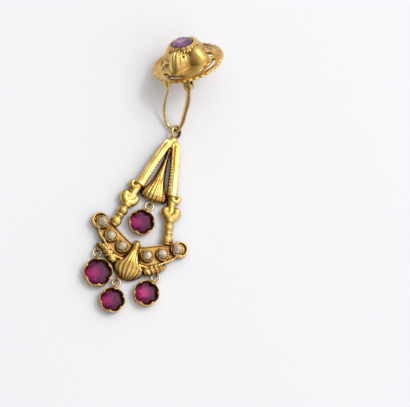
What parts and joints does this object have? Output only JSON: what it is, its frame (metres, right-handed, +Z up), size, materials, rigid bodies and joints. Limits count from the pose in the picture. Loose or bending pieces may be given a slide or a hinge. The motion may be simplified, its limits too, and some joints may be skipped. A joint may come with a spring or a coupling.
{
  "type": "drop earring",
  "caption": "Gold drop earring: pierced domed rosette on a hinged ear wire, long pendant frame with seed pearls and hanging garnets in scalloped bezels.",
  "frame": {"origin": "on the flat back of the pendant's frame, behind the shield", "axes": "+Z up off the surface on which the pendant lies, +Y along the pendant towards the rosette, +X to its right"},
  "size_m": [0.0214, 0.0628, 0.0118],
  "materials": {
    "gold": "old yellow gold, worn bright on the high places and darker in the recesses",
    "wire_gold": "drawn gold wire, slightly redder, satin",
    "garnet": "faceted purple-red garnet, polished",
    "pale_garnet": "faceted pale violet-pink stone, polished",
    "pearl": "seed pearl lustre"
  },
  "bodies": {
    "drop": {"drop_frame": "gold", "ear_wire": "wire_gold", "pearl_1": "pearl", "pearl_2": "pearl", "pearl_3": "pearl", "pearl_4": "pearl", "pearl_5": "pearl", "pearl_6": "pearl", "centre_ring": "wire_gold", "left_ring": "wire_gold", "bottom_ring": "wire_gold", "right_ring": "wire_gold", "centre_bezel": "gold", "left_bezel": "gold", "bottom_bezel": "gold", "right_bezel": "gold", "centre_garnet": "garnet", "left_garnet": "garnet", "bottom_garnet": "garnet", "right_garnet": "garnet"},
    "rosette": {"rosette": "gold", "rosette_stone": "pale_garnet"}
  },
  "joints": [
    {"name": "ear_wire_hinge", "type": "hinge", "parent": "drop", "child": "rosette", "pos_m": [-0.00117, 0.03743, 0.00911], "axis": [0.3596, 0.7049, -0.6114], "range_deg": [0, 55]}
  ]
}
